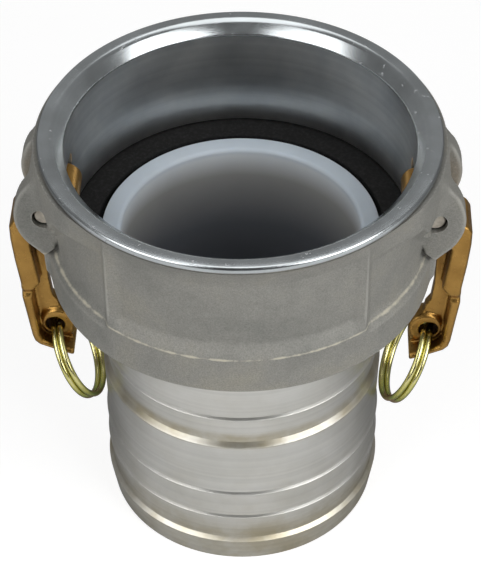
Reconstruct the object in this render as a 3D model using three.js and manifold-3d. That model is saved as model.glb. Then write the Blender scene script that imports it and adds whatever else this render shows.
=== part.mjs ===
// Four inch cam-and-groove coupler with a lined hose shank.
// Millimetres, +Z up. The origin is on the flow axis at the open end of the hose shank.
// The mouth faces +Z, and the two cam arms stand at +X and -X.
import * as THREE from 'three';
import { mergeVertices } from 'three/addons/utils/BufferGeometryUtils.js';
import Module from 'manifold-3d';

const wasm = await Module();
wasm.setup();

// ---- driving dimensions ----
const totalLength = 165.2;
const mouthBoreRadius = 60.15;
const leadInWidth = 5.85; // rounding and chamfer from the rim into the mouth
const leadInDepth = 4.4;
const lipOuterRadius = 69.2;
const lipHeight = 2.1;
const lipChamfer = 0.4;
const seatDepth = 43.3; // rim top down to the top face of the gasket
const seatLand = 0.6; // the seat's undercut starts this far above the gasket
const collarRadius = 68;
const collarBottomDepth = 57.6;
const collarTopDepth = 42.6;
const collarChamfer = 1.2;
const bevelHeight = 3.7; // slope from the collar back to the front and back panels
const panelRadius = 65.5;
const sideWallRadius = 64.8; // recessed wall beside the lugs
const ribX = 43.3; // outer face of the upright ribs that end the front and back panels
const ribWidth = 2.6;
const shoulderRadius = 70.5; // swelling under the lip that carries each lug
const shoulderHalfWidth = 36;
const shoulderHeight = 12.4;
const padHalfWidth = 14.5; // pad that carries each lug down the collar
const shankRadius = 51;
const shankBoreRadius = 46.8;
const gasketThickness = 6.35;
const gasketOuterRadius = 61.9;
const gasketInnerRadius = 50.8;
const gasketChamfer = 0.5;
const linerBoreRadius = 42.4;
const linerFlangeRadius = 49.25;
const linerRounding = 2;
const linerClearance = 0.4;
const seatGap = 0.3;
const pinX = 67;
const pinDepth = 26;
const pinRadius = 3.6;
const pinInset = 1.4; // each pin end sits this far below the face of its ear
const pinClearance = 0.35;
const earHoleRadius = 4.2;
const lugHalfWidth = 17;
const slotHalfWidth = 9.3;
const windowBelowPin = 13; // opening in the wall for the cam lobe
const windowAbovePin = 8;
const armHalfWidth = 8.7;
const knuckleRadius = 6.1;
const lobeX = -4.9; // centre of the cam lobe's nose, from the pin centre
const lobeZ = -2;
const webHalfThickness = 2.2;
const eyeX = 1.5; // centre of the ring eye, from the pin centre
const eyeZ = -63.2;
const eyeRadius = 3.4;
const bossRadius = 6.2;
const bossHalfThickness = 4;
const ringWireRadius = 1.1;
const ringMeanRadius = 17.6;
const ringTurns = 1.94;
const ringTurnGap = 0.12;
const ringLean = THREE.MathUtils.degToRad(24); // inward from straight down
const roundSegments = 60;
const holeSegments = 20;

const pinZ = totalLength - pinDepth;
const gasketTop = totalLength - seatDepth;
const gasketBottom = gasketTop - gasketThickness;
const seatZ = gasketBottom - seatGap;
const collarBottom = totalLength - collarBottomDepth;
const collarTop = totalLength - collarTopDepth;
const lipBottom = totalLength - lipHeight;
const leadInBottom = totalLength - leadInDepth;
const farOut = 90; // beyond everything, for blocks that only bound a cut

// ---- solids and cuts ----
function toSolid(geometry) {
  const bare = geometry.clone();
  bare.deleteAttribute('normal');
  bare.deleteAttribute('uv');
  const merged = mergeVertices(bare, 1e-4);
  return new wasm.Manifold(new wasm.Mesh({
    numProp: 3,
    vertProperties: new Float32Array(merged.attributes.position.array),
    triVerts: new Uint32Array(merged.index.array),
  }));
}

function toGeometry(solid) {
  const mesh = solid.getMesh();
  const geometry = new THREE.BufferGeometry();
  geometry.setAttribute('position', new THREE.BufferAttribute(new Float32Array(mesh.vertProperties), 3));
  geometry.setIndex(new THREE.BufferAttribute(new Uint32Array(mesh.triVerts), 1));
  geometry.computeVertexNormals();
  return geometry;
}

// A closed profile of [radius, height] points, turned about the flow axis.
// The points run anticlockwise: up the outside and down the bore.
function revolve(points, segments = roundSegments) {
  const outline = points.map(([radius, height]) => new THREE.Vector2(radius, height));
  outline.push(outline[0].clone());
  const geometry = new THREE.LatheGeometry(outline, segments);
  geometry.rotateX(Math.PI / 2);
  return toSolid(geometry);
}

// An outline of THREE.Vector2 (x, z) points, extruded along Y between -halfWidth and +halfWidth.
function sidePlate(outline, halfWidth) {
  const shape = new THREE.Shape(outline);
  const geometry = new THREE.ExtrudeGeometry(shape, { depth: 2 * halfWidth, bevelEnabled: false });
  geometry.translate(0, 0, -halfWidth);
  geometry.rotateX(Math.PI / 2);
  return toSolid(geometry);
}

function crossRod(x, z, radius, halfLength) {
  const geometry = new THREE.CylinderGeometry(radius, radius, 2 * halfLength, holeSegments);
  geometry.translate(x, 0, z);
  return toSolid(geometry);
}

function block(low, high) {
  const size = high.map((value, axis) => value - low[axis]);
  const geometry = new THREE.BoxGeometry(...size);
  geometry.translate(low[0] + size[0] / 2, low[1] + size[1] / 2, low[2] + size[2] / 2);
  return toSolid(geometry);
}

// A block on one side of the YZ plane, from near to far in X.
function sideBlock(side, near, far, halfWidth, bottom, top) {
  const low = side > 0 ? near : -far;
  const high = side > 0 ? far : -near;
  return block([low, -halfWidth, bottom], [high, halfWidth, top]);
}

function smoothOutline(points, divisions) {
  const curve = new THREE.CatmullRomCurve3(
    points.map(([x, z]) => new THREE.Vector3(x, z, 0)), false, 'centripetal');
  return curve.getPoints(divisions).map((point) => new THREE.Vector2(point.x, point.y));
}

const finishes = {
  castAluminium: { color: 0x787871, roughness: 0.75, metalness: 0.6 },
  turnedAluminium: { color: 0xb4b6b8, roughness: 0.35, metalness: 0.9 },
  rubber: { color: 0x1a1a1c, roughness: 0.85, metalness: 0 },
  polymer: { color: 0xe6ecf4, roughness: 0.4, metalness: 0 },
  brass: { color: 0xb27a26, roughness: 0.4, metalness: 0.8 },
  pinSteel: { color: 0x9c917c, roughness: 0.5, metalness: 0.8 },
  platedWire: { color: 0x9a9440, roughness: 0.3, metalness: 0.9 },
};

const coupling = new THREE.Group();

function addPart(name, geometry, finish) {
  const mesh = new THREE.Mesh(geometry, new THREE.MeshStandardMaterial(finishes[finish]));
  mesh.name = name;
  coupling.add(mesh);
  return mesh;
}

// ---- coupler body: one casting with a turned mouth and lip ----
// Lug outline in the side view, from the pin centre outwards.
const lugOutline = smoothOutline([
  [1.1, 18.0], [5.2, 13.8], [8.2, 9.6], [10.3, 3.0], [10.1, -3.8],
  [7.5, -10.1], [3.1, -15.1], [0.9, -17.5],
], 18).concat([
  new THREE.Vector2(-3.0, -14.2), new THREE.Vector2(-5.2, -5.0), new THREE.Vector2(-5.2, 18.0),
]);

const padOutline = [
  new THREE.Vector2(-4.4, -8), new THREE.Vector2(-4.4, -31), new THREE.Vector2(-1.5, -31),
  new THREE.Vector2(1.2, -27), new THREE.Vector2(1.5, -22), new THREE.Vector2(1.5, -12),
];

// Moves an outline measured from the pin centre out to one side of the body.
function besidePin(side, outline) {
  return outline.map((point) => new THREE.Vector2(side * (pinX + point.x), pinZ + point.y));
}

function makeShell() {
  return revolve([
    [shankRadius + seatGap, collarBottom],
    [collarRadius - collarChamfer, collarBottom],
    [collarRadius, collarBottom + collarChamfer],
    [collarRadius, collarTop],
    [panelRadius, collarTop + bevelHeight],
    [panelRadius, lipBottom - 9],
    [lipOuterRadius - 2.2, lipBottom - 4],
    [lipOuterRadius - 0.3, lipBottom - 0.2],
    [lipOuterRadius, lipBottom],
    [lipOuterRadius, totalLength - lipChamfer],
    [lipOuterRadius - lipChamfer, totalLength],
    [mouthBoreRadius + leadInWidth, totalLength],
    [mouthBoreRadius + 0.5 * leadInWidth, totalLength - 0.27 * leadInDepth],
    [mouthBoreRadius, leadInBottom],
    [mouthBoreRadius, gasketTop + seatLand],
    [gasketOuterRadius + seatGap, gasketTop + seatLand],
    [gasketOuterRadius + seatGap, seatZ],
    [shankRadius + seatGap, seatZ],
  ]);
}

function band(innerRadius, outerRadius, bottom, top) {
  return revolve([[outerRadius, bottom], [outerRadius, top], [innerRadius, top], [innerRadius, bottom]]);
}

function makeBody() {
  let body = makeShell();
  const recess = band(sideWallRadius, collarRadius + 6, collarTop, lipBottom - 7);
  const rib = band(panelRadius - 1, collarRadius, collarTop, lipBottom - 1);
  const shoulder = revolve([
    [mouthBoreRadius + 1, lipBottom - shoulderHeight],
    [lipOuterRadius - 2, lipBottom - shoulderHeight],
    [shoulderRadius, lipBottom - 0.4 * shoulderHeight],
    [shoulderRadius, lipBottom - 0.2],
    [mouthBoreRadius + leadInWidth, lipBottom - 0.2],
  ]);

  for (const side of [-1, 1]) {
    body = body.subtract(recess.intersect(sideBlock(side, ribX, farOut, farOut, 0, totalLength)));
    body = body.add(rib.intersect(sideBlock(side, ribX - ribWidth, ribX, farOut, 0, totalLength)));
    body = body.add(shoulder.intersect(sideBlock(side, ribX, farOut, shoulderHalfWidth, 0, totalLength)));
    body = body.add(sidePlate(besidePin(side, lugOutline), lugHalfWidth));
    body = body.add(sidePlate(besidePin(side, padOutline), padHalfWidth));
  }

  // Slot between the two ears of each lug, and the window behind it into the mouth.
  for (const side of [-1, 1]) {
    body = body.subtract(sideBlock(
      side, mouthBoreRadius - 8, farOut, slotHalfWidth, pinZ - windowBelowPin, pinZ + windowAbovePin));
    body = body.subtract(sideBlock(side, pinX + 5, farOut, slotHalfWidth, pinZ - 30, totalLength));
    body = body.subtract(sideBlock(side, sideWallRadius + 0.4, farOut, slotHalfWidth, collarTop, pinZ));
    body = body.subtract(crossRod(side * pinX, pinZ, earHoleRadius, 2 * lugHalfWidth));
  }

  // The mouth stays a clean bore above the gasket.
  body = body.subtract(revolve([
    [0, gasketTop + seatLand],
    [mouthBoreRadius, gasketTop + seatLand],
    [mouthBoreRadius, leadInBottom],
    [0, leadInBottom],
  ]));
  return toGeometry(body);
}

// ---- hose shank: a turned sleeve with hose barbs, whose ledges face the mouth ----
function makeShank() {
  const barbs = [
    // crest height, crest radius, root radius, ledge height
    [10.8, shankRadius + 0.7, shankRadius - 0.9, 2.3],
    [24.2, shankRadius + 0.4, shankRadius - 0.3, 0.8],
    [36.9, shankRadius + 0.4, shankRadius - 0.3, 0.8],
    [62, shankRadius + 0.4, shankRadius - 1.3, 3.2],
    [76, shankRadius + 0.2, shankRadius - 0.5, 0.9],
  ];
  const ledges = barbs.flatMap(([height, crest, root, drop]) => [[crest, height], [root, height + drop]]);
  return toGeometry(revolve([
    [shankBoreRadius, 0],
    [shankRadius - 1.3, 0],
    ...ledges,
    [shankRadius, 92],
    [shankRadius, seatZ],
    [shankBoreRadius, seatZ],
  ]));
}

// ---- gasket and flow liner ----
function makeGasket() {
  return toGeometry(revolve([
    [gasketInnerRadius, gasketBottom],
    [gasketOuterRadius, gasketBottom],
    [gasketOuterRadius, gasketTop],
    [gasketInnerRadius + gasketChamfer, gasketTop],
    [gasketInnerRadius, gasketTop - gasketChamfer],
  ]));
}

function makeLiner() {
  const sleeveRadius = shankBoreRadius - linerClearance;
  const sleeveBottom = 1;
  return toGeometry(revolve([
    [linerBoreRadius, sleeveBottom],
    [sleeveRadius, sleeveBottom],
    [sleeveRadius, gasketBottom],
    [linerFlangeRadius, gasketBottom],
    [linerFlangeRadius, gasketTop],
    [linerBoreRadius + linerRounding, gasketTop],
    [linerBoreRadius, gasketTop - linerRounding],
  ]));
}

// ---- cam arm: knuckle, cam lobe, tee-section handle and ring eye ----
// Points are measured from the pin centre, x outwards and z up.
const armBack = [
  [14.0, -12.2], [14.0, -18], [13.2, -28], [11.9, -39], [11.9, -46], [10.9, -54],
  [9.6, -65], [8.9, -67.8], [7.2, -69.7], [2.6, -71.8], [-3.6, -74.4], [-5.2, -74.9],
];
const armFront = [
  [-5.2, -72.0], [-3.0, -71.2], [3.2, -68.8], [5.6, -67.4], [6.6, -65], [7.7, -54],
  [8.2, -47], [7.8, -43], [5.0, -39], [6.2, -28], [6.9, -19], [3.4, -9],
];

const armWeb = [
  [2, -6], [2.6, -20], [2.6, -42], [1.8, -50], [0, -53], [-0.8, -58], [-4.6, -63], [-5, -67], [-4.4, -71.2],
  [2.6, -69.5], [7.6, -66], [9, -47], [9.5, -30], [9, -12],
];
const armShoulder = [[7.6, -6], [12.6, -9.8]];
const armNeck = [[3.4, -10], [7.2, -19], [11, -12], [7.6, -6]];

function arcPoints(x, z, radius, fromDegrees, toDegrees, steps) {
  const points = [];
  for (let step = 0; step <= steps; step += 1) {
    const angle = THREE.MathUtils.degToRad(fromDegrees + (toDegrees - fromDegrees) * (step / steps));
    points.push([x + radius * Math.cos(angle), z + radius * Math.sin(angle)]);
  }
  return points;
}

function makeArm(side) {
  const place = (points) => points.map(([x, z]) => new THREE.Vector2(side * (pinX + x), pinZ + z));
  const knuckle = [
    ...arcPoints(0, 0, knuckleRadius, -10, 90, 8),
    ...arcPoints(lobeX, lobeZ, knuckleRadius, 112, 262, 10),
    ...armNeck,
  ];
  return toGeometry(sidePlate(place([...armBack, ...armFront, ...armShoulder]), armHalfWidth)
    .add(sidePlate(place(knuckle), armHalfWidth))
    .add(sidePlate(place(armWeb), webHalfThickness))
    .add(crossRod(side * (pinX + eyeX - 1), pinZ + eyeZ + 0.6, bossRadius, bossHalfThickness))
    .subtract(crossRod(side * pinX, pinZ, pinRadius + pinClearance, 2 * armHalfWidth))
    .subtract(crossRod(side * (pinX + eyeX), pinZ + eyeZ, eyeRadius, 2 * armHalfWidth)));
}

function makePin(side) {
  return toGeometry(crossRod(side * pinX, pinZ, pinRadius, lugHalfWidth - pinInset));
}

// ---- split pull ring: two close turns of round wire through the arm's eye ----
class SplitRingCurve extends THREE.Curve {
  getPoint(t) {
    const angle = 2 * Math.PI * ringTurns * (t - 0.5);
    const pitch = 2 * ringWireRadius + ringTurnGap;
    return new THREE.Vector3(
      ringMeanRadius * Math.cos(angle), ringMeanRadius * Math.sin(angle), pitch * ringTurns * (t - 0.5));
  }
}

function makeRing(side) {
  const section = new THREE.Shape();
  section.absarc(0, 0, ringWireRadius, 0, 2 * Math.PI, false);
  const geometry = new THREE.ExtrudeGeometry(section, {
    steps: 48, curveSegments: 4, bevelEnabled: false, extrudePath: new SplitRingCurve(),
  });
  // The ring rests on the lower edge of the eye: its centre is one mean radius along the leaning direction.
  const hang = new THREE.Vector3(-side * Math.sin(ringLean), 0, -Math.cos(ringLean));
  const across = new THREE.Vector3(0, 1, 0);
  const normal = new THREE.Vector3().crossVectors(hang, across);
  const eye = new THREE.Vector3(side * (pinX + eyeX - 0.4), 0, pinZ + eyeZ - 0.7);
  const centre = eye.addScaledVector(hang, ringMeanRadius);
  const frame = new THREE.Matrix4().makeBasis(hang, across, normal).setPosition(centre);
  geometry.applyMatrix4(frame);
  return toGeometry(toSolid(geometry));
}

addPart('coupler_body', makeBody(), 'castAluminium');
addPart('hose_shank', makeShank(), 'turnedAluminium');
addPart('mouth_gasket', makeGasket(), 'rubber');
addPart('flow_liner', makeLiner(), 'polymer');
for (const [side, word] of [[-1, 'left'], [1, 'right']]) {
  addPart(`${word}_cam_arm`, makeArm(side), 'brass');
  addPart(`${word}_cam_pin`, makePin(side), 'pinSteel');
  addPart(`${word}_pull_ring`, makeRing(side), 'platedWire');
}

export default coupling;
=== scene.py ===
# Looks of a four inch cam-and-groove coupler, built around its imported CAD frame.
# Shapes are worked out in millimetres, in the frame's own axes, and stored in metres.
import math

import bpy
import numpy as np
from mathutils import Matrix, Vector


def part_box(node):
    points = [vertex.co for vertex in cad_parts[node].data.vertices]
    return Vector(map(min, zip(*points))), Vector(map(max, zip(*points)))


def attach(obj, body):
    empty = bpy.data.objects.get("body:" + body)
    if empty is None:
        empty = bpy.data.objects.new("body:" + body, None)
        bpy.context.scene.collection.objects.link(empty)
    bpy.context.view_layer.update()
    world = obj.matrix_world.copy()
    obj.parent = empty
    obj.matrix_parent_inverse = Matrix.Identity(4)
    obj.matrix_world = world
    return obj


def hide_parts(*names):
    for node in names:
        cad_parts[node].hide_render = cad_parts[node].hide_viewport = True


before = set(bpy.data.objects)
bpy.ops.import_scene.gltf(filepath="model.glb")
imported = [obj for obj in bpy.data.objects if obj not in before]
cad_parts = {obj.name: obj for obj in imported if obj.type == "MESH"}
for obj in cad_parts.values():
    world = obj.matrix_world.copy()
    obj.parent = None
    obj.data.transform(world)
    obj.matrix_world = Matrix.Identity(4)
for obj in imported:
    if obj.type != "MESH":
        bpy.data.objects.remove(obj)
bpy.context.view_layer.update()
MM = 0.001


# ---- sizes, from the frame and a few details of each piece ----
def box_mm(node):
    low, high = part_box(node)
    return np.array(low) / MM, np.array(high) / MM


BODY_LOW, BODY_HIGH = box_mm("coupler_body")
SHANK_HIGH = box_mm("hose_shank")[1]
GASKET_LOW, GASKET_HIGH = box_mm("mouth_gasket")
LINER_LOW, LINER_HIGH = box_mm("flow_liner")
PIN_LOW, PIN_HIGH = box_mm("right_cam_pin")

RIM_Z = BODY_HIGH[2]
COLLAR_BOTTOM = BODY_LOW[2]
LIP_RADIUS = BODY_HIGH[1]
BORE_RADIUS = LIP_RADIUS - 9.05
COLLAR_RADIUS = LIP_RADIUS - 1.2
COLLAR_TOP = COLLAR_BOTTOM + 15
PANEL_RADIUS = LIP_RADIUS - 4.2
SIDE_WALL_RADIUS = LIP_RADIUS - 4.4
RIB_START = 38.3  # distance from the middle plane where a rib's slope leaves the panel
RIB_CREST = 43.3
SHOULDER_RADIUS = LIP_RADIUS + 1.3
LIP_HEIGHT = 2.1
RIM_ROUNDING = 4  # inner edge of the rim, before the lead-in chamfer
SHANK_RADIUS = SHANK_HIGH[1] - 0.7  # the lowest barb stands 0.7 mm proud
SHANK_BORE_RADIUS = SHANK_RADIUS - 4.2
SHANK_TOP = SHANK_HIGH[2]
GASKET_RADIUS = GASKET_HIGH[1]
GASKET_TOP = GASKET_HIGH[2]
GASKET_BOTTOM = GASKET_LOW[2]
GASKET_BORE_RADIUS = GASKET_RADIUS - 11.1
LINER_RADIUS = LINER_HIGH[1]
LINER_BORE_RADIUS = LINER_RADIUS - 6.85
LINER_SLEEVE_RADIUS = SHANK_BORE_RADIUS - 0.4
PIN_X = (PIN_LOW[0] + PIN_HIGH[0]) / 2
PIN_Z = (PIN_LOW[2] + PIN_HIGH[2]) / 2
PIN_RADIUS = (PIN_HIGH[2] - PIN_LOW[2]) / 2
PIN_HALF_LENGTH = PIN_HIGH[1]
EAR_HOLE_RADIUS = PIN_RADIUS + 0.6
LUG_HALF_WIDTH = 17
PAD_HALF_WIDTH = 14.5
SLOT_HALF_WIDTH = 9.3
ARM_HALF_WIDTH = 8.7
EYE_RADIUS = 3.4
EYE = (1.5, -63.2)  # from the pin centre, outwards and up
RING_WIRE_RADIUS = 1.12
RING_MEAN_RADIUS = 17.6
RING_LEAN = math.radians(24)
ROUND_SEGMENTS = 216
BODY_GRID_STEP = 0.8
ARM_GRID_STEP = 0.45


# ---- distance fields: negative inside, in millimetres ----
def smooth_union(a, b, blend):
    reach = np.maximum(blend - np.abs(a - b), 0) / blend
    return np.minimum(a, b) - reach * reach * blend / 4


def smooth_cut(solid, hollow, blend):
    return -smooth_union(-solid, hollow, blend)


def smooth_step(value, start, end):
    share = np.clip((value - start) / (end - start), 0, 1)
    return share * share * (3 - 2 * share)


def outline_distance(u, w, outline):
    """Signed distance from points (u, w) to a closed outline."""
    shape = np.broadcast(u, w).shape
    nearest = np.full(shape, np.inf)
    inside = np.zeros(shape, bool)
    for (u0, w0), (u1, w1) in zip(outline, np.roll(outline, -1, axis=0)):
        along_u = u1 - u0
        along_w = w1 - w0
        share = ((u - u0) * along_u + (w - w0) * along_w) / (along_u ** 2 + along_w ** 2)
        share = np.clip(share, 0, 1)
        nearest = np.minimum(nearest, (u - u0 - share * along_u) ** 2 + (w - w0 - share * along_w) ** 2)
        if along_w != 0:
            crossed = (w0 > w) != (w1 > w)
            inside ^= crossed & (u < u0 + (w - w0) * along_u / along_w)
    return np.where(inside, -1, 1) * np.sqrt(nearest)


def rounded_slab(flat, across, edge):
    """A flat shape with a thickness: both are distances, and edge rounds where they meet."""
    first = flat + edge
    second = across + edge
    outside = np.hypot(np.maximum(first, 0), np.maximum(second, 0))
    return np.minimum(np.maximum(first, second), 0) + outside - edge


def smooth_outline(points, per_span=6):
    """A curve through the points, which stay on it."""
    points = np.array(points, float)
    padded = np.vstack([2 * points[0] - points[1], points, 2 * points[-1] - points[-2]])
    curve = []
    for before, start, end, after in zip(padded, padded[1:], padded[2:], padded[3:]):
        for t in np.arange(per_span) / per_span:
            curve.append(0.5 * (2 * start + (end - before) * t
                                + (2 * before - 5 * start + 4 * end - after) * t ** 2
                                + (3 * start - before - 3 * end + after) * t ** 3))
    curve.append(points[-1])
    return np.array(curve)


def surface_net(field, low, high, step):
    """Closed quad mesh of the surface where the field is zero, with its points pulled onto that surface."""
    axes = [np.arange(low[axis], high[axis] + step, step) for axis in range(3)]
    shape = tuple(len(axis) for axis in axes)
    grid = np.broadcast_to(
        field(axes[0][:, None, None], axes[1][None, :, None], axes[2][None, None, :]), shape)
    inside = grid < 0
    cells = tuple(size - 1 for size in shape)
    filled = np.zeros(cells, np.int8)
    for corner in np.ndindex(2, 2, 2):
        filled += inside[tuple(slice(c, c + n) for c, n in zip(corner, cells))]
    active = (filled > 0) & (filled < 8)
    cell = np.argwhere(active)
    number = np.full(cells, -1)
    number[active] = np.arange(len(cell))

    total = np.zeros((len(cell), 3))
    hits = np.zeros(len(cell))
    for axis in range(3):
        for first, second in np.ndindex(2, 2):
            start = np.insert([first, second], axis, 0)
            unit = np.eye(3, dtype=int)[axis]
            here = grid[tuple((cell + start).T)]
            there = grid[tuple((cell + start + unit).T)]
            crossed = (here < 0) != (there < 0)
            share = here[crossed] / (here[crossed] - there[crossed])
            total[crossed] += start + share[:, None] * unit
            hits[crossed] += 1
    points = np.array(low) + step * (cell + total / hits[:, None])

    quads = []
    for axis in range(3):
        second, third = (axis + 1) % 3, (axis + 2) % 3
        lower = np.take(inside, range(cells[axis]), axis)
        upper = np.take(inside, range(1, shape[axis]), axis)
        edge = np.argwhere(lower != upper)
        edge = edge[(edge[:, second] > 0) & (edge[:, third] > 0)
                    & (edge[:, second] < cells[second]) & (edge[:, third] < cells[third])]
        step_second = np.eye(3, dtype=int)[second]
        step_third = np.eye(3, dtype=int)[third]
        around = [edge - step_second - step_third, edge - step_third, edge, edge - step_second]
        quad = np.stack([number[tuple(c.T)] for c in around], axis=1)
        solid_below = lower[tuple(edge.T)]
        quad[~solid_below] = quad[~solid_below][:, ::-1]
        quads.append(quad)

    reach = step / 4
    for _ in range(3):
        here = field(*points.T)
        slope = np.stack([
            (field(*(points + reach * unit).T) - field(*(points - reach * unit).T)) / (2 * reach)
            for unit in np.eye(3)], axis=1)
        squared = np.maximum((slope ** 2).sum(1), 0.25)
        move = slope * (here / squared)[:, None]
        length = np.linalg.norm(move, axis=1, keepdims=True)
        points -= move * np.minimum(1, 0.5 * step / np.maximum(length, 1e-9))
    return points, np.vstack(quads)


# ---- meshes ----
def link_mesh(name, points, faces):
    """A new object in the scene. Its points are in millimetres, and its faces are lists."""
    mesh = bpy.data.meshes.new(name)
    mesh.from_pydata((np.asarray(points) * MM).tolist(), [], faces)
    piece = bpy.data.objects.new(name, mesh)
    bpy.context.scene.collection.objects.link(piece)
    return piece


def add_piece(name, points, faces):
    piece = link_mesh(name, points, np.asarray(faces).tolist())
    piece.data.validate()
    return piece


def arc(centre_radius, centre_z, radius, start, end, steps=6):
    """Profile points on an arc, with angles in degrees from the outward direction."""
    return [(centre_radius + radius * math.cos(math.radians(angle)),
             centre_z + radius * math.sin(math.radians(angle)))
            for angle in np.linspace(start, end, steps + 1)]


def revolve(name, profile, segments=ROUND_SEGMENTS):
    """A closed profile of (radius, height) points turned about the flow axis, up the outside first."""
    profile = np.array(profile)
    count = len(profile)
    turn = 2 * np.pi * np.arange(segments) / segments
    points = np.stack([
        np.outer(np.cos(turn), profile[:, 0]),
        np.outer(np.sin(turn), profile[:, 0]),
        np.tile(profile[:, 1], (segments, 1)),
    ], axis=2).reshape(-1, 3)
    ring = np.arange(segments)[:, None] * count
    next_ring = np.roll(ring, -1, axis=0)
    place = np.arange(count)[None, :]
    next_place = np.roll(place, -1, axis=1)
    faces = np.stack([
        ring + place, next_ring + place, next_ring + next_place, ring + next_place], axis=2)
    return add_piece(name, points, faces.reshape(-1, 4))


def cylinder_across(name, x, z, radius, half_length, chamfer=0.0, segments=64):
    """A rod along Y with chamfered ends."""
    stations = [(-half_length, radius - chamfer), (-half_length + chamfer, radius),
                (half_length - chamfer, radius), (half_length, radius - chamfer)]
    if chamfer == 0:
        stations = [(-half_length, radius), (half_length, radius)]
    turn = 2 * np.pi * np.arange(segments) / segments
    points = [(x + r * math.cos(a), y, z + r * math.sin(a)) for y, r in stations for a in turn]
    faces = []
    for row in range(len(stations) - 1):
        for i in range(segments):
            j = (i + 1) % segments
            faces.append([row * segments + i, (row + 1) * segments + i,
                          (row + 1) * segments + j, row * segments + j])
    first = list(range(segments))
    last = [(len(stations) - 1) * segments + i for i in reversed(range(segments))]
    return link_mesh(name, points, faces + [first, last])


def machine(piece, tool, operation):
    """Cuts the piece with a tool solid, which is used up."""
    cut = piece.modifiers.new("machined", "BOOLEAN")
    cut.operation = operation
    cut.solver = "MANIFOLD"
    cut.object = tool
    evaluated = piece.evaluated_get(bpy.context.evaluated_depsgraph_get())
    mesh = bpy.data.meshes.new_from_object(evaluated)
    piece.modifiers.clear()
    piece.data = mesh
    bpy.data.objects.remove(tool)


def smooth_shade(piece, sharp_degrees):
    piece.data.shade_smooth()
    piece.data.set_sharp_from_angle(angle=math.radians(sharp_degrees))


# ---- node materials ----
def new_material(name):
    material = bpy.data.materials.new(name)
    material.use_nodes = True
    return material, material.node_tree


def add_node(tree, kind, fields=None, inputs=None):
    """Adds a shader node. An input is a value, or another node's socket to link from."""
    node = tree.nodes.new("ShaderNode" + kind)
    for field, value in (fields or {}).items():
        setattr(node, field, value)
    for socket, value in (inputs or {}).items():
        if isinstance(value, bpy.types.NodeSocket):
            tree.links.new(value, node.inputs[socket])
        else:
            node.inputs[socket].default_value = value
    return node


def maths(tree, operation, first, second=0.0, third=0.0):
    return add_node(tree, "Math", {"operation": operation}, {0: first, 1: second, 2: third}).outputs[0]


def noise(tree, vector, scale, detail=3.0, roughness=0.55):
    return add_node(tree, "TexNoise", None, {
        "Vector": vector, "Scale": scale, "Detail": detail, "Roughness": roughness}).outputs["Fac"]


def ramp(tree, factor, stops):
    """Maps a factor through (position, colour) stops."""
    node = add_node(tree, "ValToRGB", None, {"Fac": factor})
    elements = node.color_ramp.elements
    while len(elements) < len(stops):
        elements.new(0.5)
    for element, (position, colour) in zip(elements, stops):
        element.position = position
        element.color = (*colour, 1) if isinstance(colour, tuple) else (colour, colour, colour, 1)
    return node.outputs["Color"]


def mix_colour(tree, factor, first, second):
    node = add_node(tree, "Mix", {"data_type": "RGBA"}, {0: factor})
    for index, value in ((6, first), (7, second)):
        if isinstance(value, bpy.types.NodeSocket):
            tree.links.new(value, node.inputs[index])
        else:
            node.inputs[index].default_value = (*value, 1)
    return node.outputs[2]


def bump(tree, height, distance, strength=1.0, normal=None):
    inputs = {"Height": height, "Distance": distance * MM, "Strength": strength}
    if normal is not None:
        inputs["Normal"] = normal
    return add_node(tree, "Bump", None, inputs).outputs["Normal"]


def place_of(tree):
    return add_node(tree, "TexCoord").outputs["Object"]


def turned_place(tree):
    """Texture position that stays the same all the way round the flow axis: (radius, 0, height)."""
    parts = add_node(tree, "SeparateXYZ", None, {0: place_of(tree)})
    flat = add_node(tree, "CombineXYZ", None, {0: parts.outputs[0], 1: parts.outputs[1]})
    radius = add_node(tree, "VectorMath", {"operation": "LENGTH"}, {0: flat.outputs[0]}).outputs["Value"]
    return add_node(tree, "CombineXYZ", None, {0: radius, 2: parts.outputs[2]}).outputs[0]


def turned_tangent(tree):
    return add_node(tree, "Tangent", {"direction_type": "RADIAL", "axis": "Z"}).outputs[0]


def shader_of(tree, inputs):
    shader = tree.nodes["Principled BSDF"]
    for socket, value in inputs.items():
        if isinstance(value, bpy.types.NodeSocket):
            tree.links.new(value, shader.inputs[socket])
        elif socket == "Base Color":
            shader.inputs[socket].default_value = (*value, 1)
        else:
            shader.inputs[socket].default_value = value
    return shader


def painted_crevice_shade(tree, reach, darkest):
    """Painted shade: a colour to multiply by, darkest where the surface is enclosed by others nearby."""
    openness = add_node(tree, "AmbientOcclusion", {"samples": 6}, {"Distance": reach * MM}).outputs["AO"]
    return ramp(tree, openness, [(0.2, darkest), (0.75, (1.0, 1.0, 1.0))])


def multiply_colour(tree, first, second, share=1.0):
    return add_node(tree, "Mix", {"data_type": "RGBA", "blend_type": "MULTIPLY"}, {
        0: share, 6: first, 7: second}).outputs[2]


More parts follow.
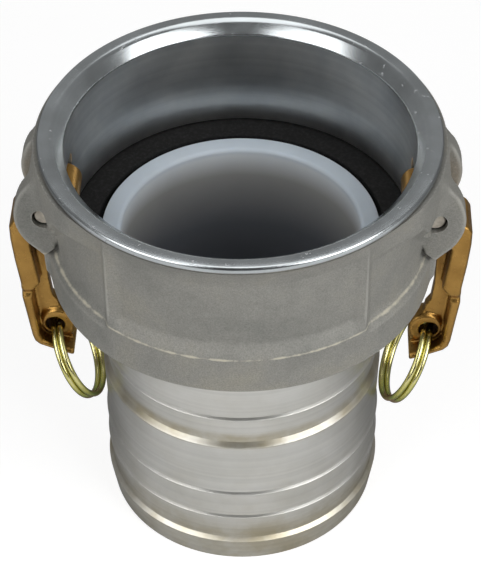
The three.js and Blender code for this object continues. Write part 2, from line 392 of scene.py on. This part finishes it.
def cast_aluminium():
    material, tree = new_material("cast_aluminium")
    place = place_of(tree)
    grain = noise(tree, place, 1900, 5, 0.7)
    pits = noise(tree, place, 620, 3)
    waves = noise(tree, place, 120, 3)
    patches = noise(tree, place, 38, 4, 0.65)
    tone = ramp(tree, patches, [
        (0.3, (0.235, 0.235, 0.215)), (0.5, (0.29, 0.285, 0.26)), (0.7, (0.325, 0.312, 0.268))])
    speck = ramp(tree, grain, [(0.32, 0.72), (0.5, 1.0), (0.7, 1.28)])
    colour = multiply_colour(tree, tone, speck, 0.8)
    worn = ramp(tree, add_node(tree, "NewGeometry").outputs["Pointiness"], [(0.515, 0.0), (0.56, 1.0)])
    bright = mix_colour(tree, maths(tree, "MULTIPLY", worn, 0.6), colour, (0.52, 0.51, 0.47))
    height = add_node(tree, "SeparateXYZ", None, {0: place}).outputs[2]
    from_edge = maths(tree, "ABSOLUTE", maths(tree, "SUBTRACT", height, (COLLAR_TOP + 0.2) * MM))
    near_edge = maths(tree, "SUBTRACT", 1.0, maths(tree, "DIVIDE", from_edge, 1.3 * MM))
    streaks = maths(tree, "MULTIPLY", noise(tree, place, 170, 4, 0.7), maths(tree, "MAXIMUM", near_edge, 0.0))
    ground = ramp(tree, streaks, [(0.3, 0.0), (0.5, 0.8)])
    bright = mix_colour(tree, ground, bright, (0.66, 0.62, 0.50))
    normal = bump(tree, waves, 0.5, 0.5)
    normal = bump(tree, pits, 0.22, 0.8, normal)
    normal = bump(tree, grain, 0.14, 0.9, normal)
    # The base colour is darkened by painted shade in crevices and hollows.
    shader_of(tree, {
        "Base Color": multiply_colour(tree, bright, painted_crevice_shade(tree, 4, (0.3, 0.3, 0.3))),
        "Metallic": 0.35, "Roughness": maths(tree, "MULTIPLY_ADD", pits, 0.25, 0.5), "Normal": normal})
    return material


def turned_aluminium(name, light, dark, roughness, line_depth, stretch=0.35, nicks=0.0):
    """Lathe-turned metal: fine rings about the axis, with reflections stretched across them."""
    material, tree = new_material(name)
    rings = turned_place(tree)
    place = place_of(tree)
    fine = noise(tree, rings, 2600, 2)
    broad = noise(tree, rings, 520, 3)
    cloud = noise(tree, place, 45, 4)
    tone = ramp(tree, cloud, [(0.32, dark), (0.68, light)])
    lines = ramp(tree, broad, [(0.3, 0.92), (0.7, 1.04)])
    colour = multiply_colour(tree, tone, lines)
    dents = ramp(tree, noise(tree, place, 330, 4, 0.7), [(0.66, 0.0), (0.7, 1.0)])
    colour = mix_colour(tree, maths(tree, "MULTIPLY", dents, nicks), colour, (0.92, 0.93, 0.95))
    normal = bump(tree, broad, line_depth * 2, 0.5)
    normal = bump(tree, fine, line_depth, 0.8, normal)
    normal = bump(tree, dents, 0.3 * nicks, 0.8, normal)
    shader_of(tree, {
        "Base Color": colour, "Metallic": 1.0,
        "Roughness": maths(tree, "MULTIPLY_ADD", cloud, 0.16, roughness - 0.08),
        "Anisotropic": stretch, "Tangent": turned_tangent(tree), "Normal": normal})
    return material


def stain_hollows(material):
    """Tan grime on the foot of the sleeve, and darker tan bands at the two broad barbs."""
    tree = material.node_tree
    shader = tree.nodes["Principled BSDF"]
    place = place_of(tree)
    height = add_node(tree, "SeparateXYZ", None, {0: place}).outputs[2]
    share = maths(tree, "DIVIDE", height, 80 * MM)
    hollows = ramp(tree, share, [
        (0.0, 0.9), (0.125, 0.75), (0.14, 0.95), (0.18, 0.9), (0.3, 0.3),
        (0.76, 0.15), (0.78, 0.95), (0.82, 0.9), (0.86, 0.2)])
    blotches = ramp(tree, noise(tree, place, 55, 4, 0.65), [(0.4, 0.45), (0.66, 1.0)])
    clean = shader.inputs["Base Color"].links[0].from_socket
    grimy = multiply_colour(tree, clean, (0.62, 0.55, 0.40, 1), maths(tree, "MULTIPLY", hollows, blotches))
    tree.links.new(grimy, shader.inputs["Base Color"])


def gasket_rubber():
    material, tree = new_material("gasket_rubber")
    place = place_of(tree)
    dust = ramp(tree, noise(tree, place, 900, 4), [
        (0.45, (0.006, 0.006, 0.006)), (0.8, (0.020, 0.020, 0.021))])
    shader_of(tree, {
        "Base Color": dust, "Roughness": 0.75, "Specular IOR Level": 0.2,
        "Normal": bump(tree, noise(tree, place, 1500, 2), 0.05, 0.6)})
    return material


def liner_polymer():
    """Milky polymer: bright at the flange, and darkened down the bore by painted shade, deeper below the
    gasket top.
    """
    material, tree = new_material("liner_polymer")
    place = place_of(tree)
    height = add_node(tree, "SeparateXYZ", None, {0: place}).outputs[2]
    depth = add_node(tree, "MapRange", None, {
        "Value": height, "From Min": GASKET_TOP * MM, "From Max": (GASKET_TOP - 60) * MM}).outputs[0]
    # Painted shade: the colour darkens with depth down the bore.
    polymer_and_depth_shade = ramp(tree, depth, [
        (0.0, (0.62, 0.70, 0.78)), (0.05, (0.70, 0.74, 0.77)),
        (0.2, (0.34, 0.34, 0.33)), (0.6, (0.16, 0.17, 0.19))])
    cloud = ramp(tree, noise(tree, place, 60, 2), [(0.3, 0.94), (0.7, 1.0)])
    shader_of(tree, {
        "Base Color": multiply_colour(tree, polymer_and_depth_shade, cloud), "Roughness": 0.42, "Subsurface Weight": 0.25,
        "Subsurface Radius": (0.9, 1.0, 1.2), "Subsurface Scale": 0.002,
        "Normal": bump(tree, noise(tree, turned_place(tree), 700, 2), 0.02, 0.6)})
    return material


def arm_brass():
    material, tree = new_material("arm_brass")
    place = place_of(tree)
    patches = noise(tree, place, 90, 3)
    skin = noise(tree, place, 900, 4)
    tone = ramp(tree, patches, [(0.3, (0.34, 0.185, 0.045)), (0.7, (0.52, 0.30, 0.08))])
    # Painted shade: the brass is darkened in its recesses.
    tone = multiply_colour(tree, tone, painted_crevice_shade(tree, 9, (0.2, 0.14, 0.11)))
    worn = ramp(tree, add_node(tree, "NewGeometry").outputs["Pointiness"], [(0.52, 0.0), (0.62, 1.0)])
    colour = mix_colour(tree, maths(tree, "MULTIPLY", worn, 0.5), tone, (0.80, 0.54, 0.20))
    normal = bump(tree, patches, 0.5, 0.6)
    normal = bump(tree, skin, 0.05, 0.7, normal)
    shader_of(tree, {
        "Base Color": colour, "Metallic": 0.9,
        "Roughness": maths(tree, "MULTIPLY_ADD", skin, 0.2, 0.2), "Normal": normal})
    return material


def pin_steel():
    material, tree = new_material("pin_steel")
    place = place_of(tree)
    tone = ramp(tree, noise(tree, place, 300, 3), [(0.3, (0.33, 0.30, 0.25)), (0.7, (0.60, 0.55, 0.47))])
    shader_of(tree, {
        "Base Color": tone, "Metallic": 0.6, "Roughness": 0.45,
        "Normal": bump(tree, noise(tree, place, 450, 2), 0.25, 0.8)})
    return material


def ring_wire():
    """Yellow zinc plate on round wire: the tint shifts from gold to green with the angle of view."""
    material, tree = new_material("ring_wire")
    place = place_of(tree)
    facing = add_node(tree, "LayerWeight", None, {"Blend": 0.5}).outputs["Facing"]
    drift = maths(tree, "MULTIPLY_ADD", noise(tree, place, 130, 2), 0.5, -0.25)
    shift = maths(tree, "ADD", facing, drift)
    tint = ramp(tree, shift, [
        (0.0, (0.86, 0.80, 0.42)), (0.35, (0.70, 0.66, 0.20)), (0.55, (0.42, 0.52, 0.16)),
        (0.75, (0.62, 0.38, 0.22)), (1.0, (0.30, 0.26, 0.10))])
    shader_of(tree, {
        "Base Color": tint, "Metallic": 1.0, "Roughness": 0.2,
        "Normal": bump(tree, noise(tree, place, 700, 2), 0.03, 0.5)})
    return material


# ---- coupler body: a sand casting with a turned mouth ----
LUG_OUTLINE = np.vstack([
    smooth_outline([(1.1, 18.0), (5.2, 13.8), (8.2, 9.6), (10.3, 3.0), (10.1, -3.8),
                    (7.5, -10.1), (3.1, -15.1), (0.9, -17.5)], 4),
    [(-3.0, -14.2), (-5.2, -5.0), (-5.2, 18.0)]])
PAD_OUTLINE = np.array([(-4.4, -8), (-4.4, -31), (-1.5, -31), (1.2, -27), (1.5, -22), (1.5, -12)], float)
SLOT_OUTLINE = np.array([
    (-17, -13), (-1.8, -13), (-1.8, -17.8), (5, -17.8), (5, -30), (40, -30), (40, 40),
    (5, 40), (5, 8), (-17, 8)], float)


def wall_radius(x, y, z):
    """Outer radius of the casting's wall, without the lugs."""
    def profile(heights, radii):
        offsets = (-0.5, -0.25, 0, 0.25, 0.5)
        return np.mean([np.interp(z + offset, heights, radii) for offset in offsets], axis=0)

    lip_bottom = RIM_Z - LIP_HEIGHT
    under_lip = [lip_bottom - 4, lip_bottom - 0.7, lip_bottom + 0.5]
    under_lip_radii = [LIP_RADIUS - 2.2, LIP_RADIUS - 0.3, LIP_RADIUS + 1]
    panel = profile([COLLAR_TOP + 0.6, COLLAR_TOP + 5.2, lip_bottom - 9, *under_lip],
                    [COLLAR_RADIUS, PANEL_RADIUS, PANEL_RADIUS + 0.4, *under_lip_radii])
    side = profile([COLLAR_TOP - 1.5, COLLAR_TOP + 1.5, lip_bottom - 13, *under_lip],
                   [COLLAR_RADIUS, SIDE_WALL_RADIUS, SIDE_WALL_RADIUS, *under_lip_radii])
    across = np.abs(x)
    rib = np.clip((across - RIB_START) / (RIB_CREST - RIB_START), 0, 1)
    slope = panel + np.maximum(COLLAR_RADIUS - panel, 0) * rib
    wall = slope + (side - slope) * smooth_step(across, RIB_CREST - 0.2, RIB_CREST + 1.2)
    shoulder_foot = PIN_Z - 7 + 1.1 * np.clip(np.abs(y) - 19, 0, 14)
    shoulder = smooth_step(z, shoulder_foot, shoulder_foot + 4) * smooth_step(np.abs(y), 49, 33)
    swelling = SHOULDER_RADIUS - 1.8 * smooth_step(z, lip_bottom - 5, PIN_Z - 5)
    return wall + np.maximum(swelling - wall, 0) * shoulder


def cast_body_field(x, y, z):
    radius = np.hypot(x, y)
    wall = radius - wall_radius(x, y, z)
    outward = np.abs(x) - PIN_X
    height = z - PIN_Z
    lug = rounded_slab(
        outline_distance(outward, height, LUG_OUTLINE), np.abs(y) - LUG_HALF_WIDTH, 0.9)
    pad = rounded_slab(outline_distance(outward, height, PAD_OUTLINE), np.abs(y) - PAD_HALF_WIDTH, 1)
    slot = rounded_slab(
        outline_distance(outward, height, SLOT_OUTLINE), np.abs(y) - SLOT_HALF_WIDTH, 0.8)
    fillet = 1.5 + 3.5 * smooth_step(height, -2, 8)  # the ears stand crisply off the wall below the pin
    wall_and_pad = smooth_union(wall, pad, 1.5)
    solid = smooth_cut(smooth_union(wall_and_pad, lug, fillet), slot, 1.2)
    hollow = SHANK_RADIUS - 2 - radius
    middle = (RIM_Z + COLLAR_BOTTOM) / 2
    ends = np.abs(z - middle) - (RIM_Z - middle) - 1.5
    return np.maximum(np.maximum(solid, hollow), ends)


def turned_envelope():
    """Everything the lathe leaves: the lip, the mouth, the gasket seat and the collar's lower face."""
    outside = LIP_RADIUS + 20
    lip_bottom = RIM_Z - LIP_HEIGHT
    groove = 0.7
    groove_radius = LIP_RADIUS - 0.4
    seat_radius = GASKET_RADIUS + 0.3
    seat_top = GASKET_TOP + 0.6
    shank_fit = SHANK_RADIUS + 0.3
    return revolve("envelope", [
        (shank_fit, COLLAR_BOTTOM),
        *arc(COLLAR_RADIUS - 1.2, COLLAR_BOTTOM + 1.2, 1.2, -90, -10),
        (outside, COLLAR_BOTTOM + 1.2),
        (outside, lip_bottom - groove),
        (groove_radius, lip_bottom - groove),
        (groove_radius, lip_bottom - 0.1),
        *arc(LIP_RADIUS - 0.3, lip_bottom + 0.2, 0.3, -90, 0, 3),
        (LIP_RADIUS, RIM_Z - 1.5),
        (LIP_RADIUS - 0.06, RIM_Z - 1.0),
        (LIP_RADIUS - 0.2, RIM_Z - 0.6),
        (LIP_RADIUS - 0.42, RIM_Z - 0.25),
        (LIP_RADIUS - 0.65, RIM_Z - 0.05),
        (LIP_RADIUS - 0.85, RIM_Z),
        *arc(BORE_RADIUS + 5.85, RIM_Z - RIM_ROUNDING, RIM_ROUNDING, 90, 134, 10),
        (BORE_RADIUS + 0.4, RIM_Z - 3.9),
        (BORE_RADIUS + 0.1, RIM_Z - 4.3),
        (BORE_RADIUS, RIM_Z - 4.8),
        (BORE_RADIUS, seat_top),
        (seat_radius, seat_top),
        (seat_radius, SHANK_TOP),
        (shank_fit, SHANK_TOP),
    ])


def make_body(materials):
    margin = 2.5
    low = BODY_LOW - margin
    high = BODY_HIGH + margin
    points, faces = surface_net(cast_body_field, low, high, BODY_GRID_STEP)
    body = add_piece("body_casting", points, faces)
    machine(body, turned_envelope(), "INTERSECT")
    drill_reach = LUG_HALF_WIDTH + 13
    for side in (-1, 1):
        drill = cylinder_across("drill", side * PIN_X, PIN_Z, EAR_HOLE_RADIUS, drill_reach)
        machine(body, drill, "DIFFERENCE")
    body.data.materials.clear()
    for material in materials:
        body.data.materials.append(material)
    count = len(body.data.polygons)
    centre = np.zeros(3 * count)
    body.data.polygons.foreach_get("center", centre)
    centre = centre.reshape(-1, 3) / MM
    radius = np.hypot(centre[:, 0], centre[:, 1])
    lead_in = RIM_Z - 4.6
    slot = np.where(centre[:, 2] > RIM_Z - LIP_HEIGHT - 0.05, 1, 0)
    slot[(centre[:, 2] > lead_in) & (radius < BORE_RADIUS + 4.5)] = 1
    slot[(centre[:, 2] <= lead_in) & (radius < BORE_RADIUS + 0.1)] = 2
    body.data.polygons.foreach_set("material_index", slot.astype(np.int32))
    smooth_shade(body, 32)
    return body


# ---- turned sleeve, gasket and liner ----
def barb(crest_z, crest, root, root_height):
    """The top of one hose barb: a crisp crest, a steep ledge, and a small hollow at its root."""
    corner = min(0.3, (crest - root) / 3)
    return [
        (crest, crest_z - 0.4),
        *arc(crest - corner, crest_z - corner, corner, 5, 70, 3),
        (root + 0.25, crest_z + 0.55 * root_height),
        (root + 0.03, crest_z + root_height),
        (root, crest_z + root_height + 0.5)]


def make_shank(material):
    crest = SHANK_RADIUS + 0.4
    barbs = [
        # crest height, crest radius, root radius, height of the ledge
        (10.8, SHANK_RADIUS + 0.7, SHANK_RADIUS - 0.9, 2.3),
        (24.2, crest, crest - 0.7, 0.8),
        (36.9, crest, crest - 0.7, 0.8),
        (62.0, crest, crest - 1.7, 3.2),
        (76.0, crest - 0.2, crest - 0.9, 0.9),
    ]
    shank = revolve("shank_sleeve", [
        (SHANK_BORE_RADIUS + 0.4, 0),
        (SHANK_RADIUS - 1.3, 0),
        (SHANK_RADIUS - 0.8, 0.5),
        *[point for sizes in barbs for point in barb(*sizes)],
        (SHANK_RADIUS - 0.1, 88),
        (SHANK_RADIUS, 92),
        (SHANK_RADIUS, SHANK_TOP),
        (SHANK_BORE_RADIUS, SHANK_TOP),
        (SHANK_BORE_RADIUS, 0.4),
    ])
    shank.data.materials.append(material)
    smooth_shade(shank, 24)
    return shank


def make_gasket(material):
    corner = 0.5
    gasket = revolve("gasket_ring", [
        *arc(GASKET_BORE_RADIUS + corner, GASKET_BOTTOM + corner, corner, 180, 270, 4),
        *arc(GASKET_RADIUS - corner, GASKET_BOTTOM + corner, corner, -90, 0, 4),
        *arc(GASKET_RADIUS - corner, GASKET_TOP - corner, corner, 0, 90, 4),
        *arc(GASKET_BORE_RADIUS + corner, GASKET_TOP - corner, corner, 90, 180, 4),
    ])
    gasket.data.materials.append(material)
    smooth_shade(gasket, 40)
    return gasket


def make_liner(material):
    liner = revolve("liner_sleeve", [
        (LINER_BORE_RADIUS + 0.3, LINER_LOW[2]),
        (LINER_SLEEVE_RADIUS - 0.3, LINER_LOW[2]),
        (LINER_SLEEVE_RADIUS, LINER_LOW[2] + 0.3),
        (LINER_SLEEVE_RADIUS, GASKET_BOTTOM),
        (LINER_RADIUS, GASKET_BOTTOM),
        *arc(LINER_RADIUS - 0.4, GASKET_TOP - 0.4, 0.4, 0, 90, 3),
        *arc(LINER_BORE_RADIUS + 1.6, GASKET_TOP - 1.6, 1.6, 90, 180, 6),
        (LINER_BORE_RADIUS, LINER_LOW[2] + 0.3),
    ])
    liner.data.materials.append(material)
    smooth_shade(liner, 40)
    return liner


# ---- cam arm: knuckle and cam lobe, tee-section handle, ring eye ----
ARM_BACK = [
    (14.0, -12.2), (14.0, -18), (13.2, -28), (11.9, -39), (11.9, -46), (10.9, -54), (9.6, -65),
    (8.9, -67.8), (7.2, -69.7), (2.6, -71.8), (-3.6, -74.4), (-5.2, -74.9)]
ARM_FRONT = [
    (-5.2, -72.0), (-3.0, -71.2), (3.2, -68.8), (5.6, -67.4), (6.6, -65), (7.7, -54),
    (8.2, -47), (7.8, -43), (5.0, -39), (6.2, -28), (6.9, -19), (3.4, -9), (7.6, -6), (12.6, -9.8)]
ARM_WEB = [
    (2, -6), (2.6, -20), (2.6, -42), (1.8, -50), (0, -53), (-0.8, -58), (-4.6, -63), (-5, -67),
    (-4.4, -71.2), (2.6, -69.5), (7.6, -66), (9, -47), (9.5, -30), (9, -12)]
ARM_NECK = [(-1, -7), (3.4, -10), (7.2, -19), (11, -12), (5, -2)]
KNUCKLE_RADIUS = 6.1
LOBE = (-4.9, -2.0)
WEB_HALF_WIDTH = 2.2
BOSS = (EYE[0] - 1, EYE[1] + 0.6)
BOSS_RADIUS = EYE_RADIUS + 2.8
BOSS_HALF_WIDTH = 4
LUMP = (-2.8, -66.8)  # small casting lump at the inner side of the tip
LUMP_RADIUS = 2.4
LUMP_HALF_WIDTH = 3.6
NOTCH_HEIGHT = -43.5
NOTCH_DEPTH = 0.9
NOTCH_LENGTH = 1.3


def arm_field(x, y, z):
    outward = x - PIN_X
    height = z - PIN_Z
    across = np.abs(y)
    notch = NOTCH_DEPTH * np.exp(-((height - NOTCH_HEIGHT) / NOTCH_LENGTH) ** 2)
    handle = outline_distance(outward, height, np.array(ARM_BACK + ARM_FRONT))
    plate = rounded_slab(handle, across - ARM_HALF_WIDTH + notch, 1.5)
    start = np.clip((outward * LOBE[0] + height * LOBE[1]) / (LOBE[0] ** 2 + LOBE[1] ** 2), 0, 1)
    capsule = np.hypot(outward - start * LOBE[0], height - start * LOBE[1]) - KNUCKLE_RADIUS
    neck = outline_distance(outward, height, np.array(ARM_NECK))
    knuckle = rounded_slab(smooth_union(capsule, neck, 2), across - ARM_HALF_WIDTH, 0.8)
    web = rounded_slab(outline_distance(outward, height, np.array(ARM_WEB)), across - WEB_HALF_WIDTH, 0.7)
    boss = rounded_slab(
        np.hypot(outward - BOSS[0], height - BOSS[1]) - BOSS_RADIUS, across - BOSS_HALF_WIDTH, 1.2)
    lump = rounded_slab(
        np.hypot(outward - LUMP[0], height - LUMP[1]) - LUMP_RADIUS, across - LUMP_HALF_WIDTH, 1.6)
    tee = smooth_union(smooth_union(web, boss, 2), lump, 1.5)
    solid = smooth_union(smooth_union(plate, knuckle, 1.5), tee, 1.2)
    solid = np.maximum(solid, across - ARM_HALF_WIDTH)
    eye = EYE_RADIUS - np.hypot(outward - EYE[0], height - EYE[1])
    pin_hole = PIN_RADIUS + 0.35 - np.hypot(outward, height)
    return np.maximum(-smooth_union(-solid, -eye, 0.8), pin_hole)


def make_arm(word, side, mesh_data, material):
    points, faces = mesh_data
    placed = points * (side, 1, 1)
    arm = add_piece(f"{word}_arm_casting", placed, faces if side > 0 else faces[:, ::-1])
    arm.data.materials.append(material)
    smooth_shade(arm, 60)
    return arm


def make_pin(word, side, material):
    pin = cylinder_across(f"{word}_hinge_pin", side * PIN_X, PIN_Z, PIN_RADIUS, PIN_HALF_LENGTH, 0.5)
    pin.data.materials.append(material)
    smooth_shade(pin, 30)
    return pin


# ---- split ring: two turns of wire side by side, crossing over inside the eye ----
def make_ring(word, side, material):
    turns = 1.94
    crossover = math.radians(10)  # the wire shifts sideways this far either side of the eye
    steps = 260
    around = 20
    end_round = 0.35
    hang = np.array([-side * math.sin(RING_LEAN), 0, -math.cos(RING_LEAN)])
    across = np.array([0, 1, 0])
    normal = np.cross(hang, across)
    eye = np.array([side * (PIN_X + EYE[0] - 0.4), 0, PIN_Z + EYE[1] - 0.7])
    centre = eye + hang * RING_MEAN_RADIUS

    angles = np.linspace(-math.pi * turns, math.pi * turns, steps)
    offsets = (RING_WIRE_RADIUS + 0.06) * (2 * smooth_step(angles, -crossover, crossover) - 1)
    radii = np.full(steps, float(RING_WIRE_RADIUS))
    radii[[0, -1]] -= end_round
    outward = np.outer(-np.cos(angles), hang) + np.outer(np.sin(angles), across)
    path = centre + RING_MEAN_RADIUS * outward + np.outer(offsets, normal)
    turn = 2 * np.pi * np.arange(around) / around
    points = (path[:, None, :] + radii[:, None, None] * (
        np.cos(turn)[None, :, None] * outward[:, None, :] + np.sin(turn)[None, :, None] * normal))
    row = np.arange(steps - 1)[:, None] * around
    place = np.arange(around)[None, :]
    next_place = np.roll(place, -1, axis=1)
    walls = np.stack([
        row + place, row + next_place, row + around + next_place, row + around + place], axis=2)
    faces = walls.reshape(-1, 4).tolist()
    faces.append(list(reversed(range(around))))
    faces.append([(steps - 1) * around + i for i in range(around)])
    ring = link_mesh(f"{word}_split_ring", points.reshape(-1, 3), faces)
    ring.data.materials.append(material)
    smooth_shade(ring, 50)
    return ring


# ---- build everything and hang it on the frame ----
def hang_on(piece, body, node):
    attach(piece, body)
    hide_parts(node)


cast = cast_aluminium()
rim = turned_aluminium("turned_rim", (0.64, 0.68, 0.70), (0.50, 0.53, 0.54), 0.22, 0.015, 0.2, 0.7)
bore = turned_aluminium("turned_bore", (0.84, 0.84, 0.82), (0.62, 0.63, 0.63), 0.36, 0.02, 0.5)
sleeve = turned_aluminium("turned_sleeve", (0.80, 0.80, 0.78), (0.70, 0.70, 0.67), 0.34, 0.015, 0.55)
stain_hollows(sleeve)
brass = arm_brass()
steel = pin_steel()
wire = ring_wire()

hang_on(make_body([cast, rim, bore]), "coupler", "coupler_body")
hang_on(make_shank(sleeve), "coupler", "hose_shank")
hang_on(make_gasket(gasket_rubber()), "coupler", "mouth_gasket")
hang_on(make_liner(liner_polymer()), "coupler", "flow_liner")
arm_low, arm_high = box_mm("right_cam_arm")
arm_mesh = surface_net(arm_field, arm_low - 1.5, arm_high + 1.5, ARM_GRID_STEP)
for side, word in ((-1, "left"), (1, "right")):
    hang_on(make_arm(word, side, arm_mesh, brass), f"{word}_arm", f"{word}_cam_arm")
    hang_on(make_pin(word, side, steel), "coupler", f"{word}_cam_pin")
    hang_on(make_ring(word, side, wire), f"{word}_ring", f"{word}_pull_ring")


# ---- floor, light and camera ----
def camera_ray(tree):
    return add_node(tree, "LightPath").outputs["Is Camera Ray"]


def make_floor():
    """White paper, pale in front of the object, with painted shade in its colour behind it that the metal
    reflects. Only the camera sees its added glow.
    """
    half = 4000
    corners = [(-half, -half, 0), (half, -half, 0), (half, half, 0), (-half, half, 0)]
    floor = link_mesh("floor", corners, [(0, 1, 2, 3)])
    material, tree = new_material("floor_paper")
    depth = add_node(tree, "SeparateXYZ", None, {0: place_of(tree)}).outputs[1]
    front = add_node(tree, "MapRange", {"interpolation_type": "SMOOTHSTEP"}, {
        "Value": depth, "From Min": 0.03, "From Max": -0.11}).outputs[0]
    glow = maths(tree, "MULTIPLY_ADD", front, -0.32, 0.84)
    # Painted shade: the paper's colour is dark behind the object, so the metal reflects a shaded floor there.
    shader = shader_of(tree, {
        "Base Color": mix_colour(tree, front, (0.25, 0.25, 0.25), (0.86, 0.86, 0.86)), "Roughness": 0.9,
        "Emission Strength": maths(tree, "MULTIPLY", camera_ray(tree), glow)})
    shader.inputs["Emission Color"].default_value = (1, 1, 1, 1)
    floor.data.materials.append(material)


def add_softbox(name, place, target, width, height, power):
    light = bpy.data.lights.new(name, "AREA")
    light.shape = "RECTANGLE"
    light.size = width
    light.size_y = height
    light.energy = power
    box = bpy.data.objects.new(name, light)
    box.location = place
    box.rotation_mode = "QUATERNION"
    box.rotation_quaternion = (Vector(target) - Vector(place)).to_track_quat("-Z", "Y")
    bpy.context.scene.collection.objects.link(box)
    return box


def make_world():
    """A dim room, darker towards the camera's side, with a pale background behind the object."""
    world = bpy.data.worlds.new("studio")
    world.use_nodes = True
    bpy.context.scene.world = world
    tree = world.node_tree
    direction = add_node(tree, "SeparateXYZ", None, {0: add_node(tree, "TexCoord").outputs["Generated"]})
    room = ramp(tree, maths(tree, "MULTIPLY_ADD", direction.outputs[1], 0.5, 0.5), [
        (0.15, 0.05), (0.5, 0.16), (0.85, 0.28)])
    dim = add_node(tree, "Background", None, {"Color": room})
    pale = add_node(tree, "Background", None, {"Color": (0.93, 0.93, 0.93, 1)})
    shown = add_node(tree, "MixShader", None, {0: camera_ray(tree), 1: dim.outputs[0], 2: pale.outputs[0]})
    tree.links.new(shown.outputs[0], tree.nodes["World Output"].inputs["Surface"])


def make_light():
    middle = (0, 0, 0.1)
    add_softbox("left_box", (-0.66, -0.62, 0.68), middle, 0.75, 0.9, 5.8)
    add_softbox("right_box", (0.74, -0.58, 0.68), middle, 0.8, 0.9, 8.4)
    overhead = add_softbox("overhead", (0, 0.12, 1.4), middle, 0.75, 1.2, 4.4)
    overhead.visible_diffuse = False  # it only shows in the metal


def make_camera():
    place = Vector((17.4, -552.3, 612.3)) * MM
    turn = math.radians(1.8)
    tilt = math.radians(46.81)
    roll = math.radians(-0.44)
    lens = bpy.data.cameras.new("camera")
    lens.lens = 132
    lens.sensor_width = 36
    lens.clip_start = 0.01
    lens.shift_x = -0.0016
    lens.shift_y = -0.0008
    camera = bpy.data.objects.new("camera", lens)
    camera.rotation_mode = "QUATERNION"
    camera.location = place
    camera.rotation_quaternion = (
        Matrix.Rotation(turn, 3, "Z") @ Matrix.Rotation(tilt, 3, "X") @ Matrix.Rotation(roll, 3, "Z")
    ).to_quaternion()
    bpy.context.scene.collection.objects.link(camera)
    bpy.context.scene.camera = camera


make_floor()
make_world()
make_light()
make_camera()
bpy.context.scene.view_settings.view_transform = "Standard"
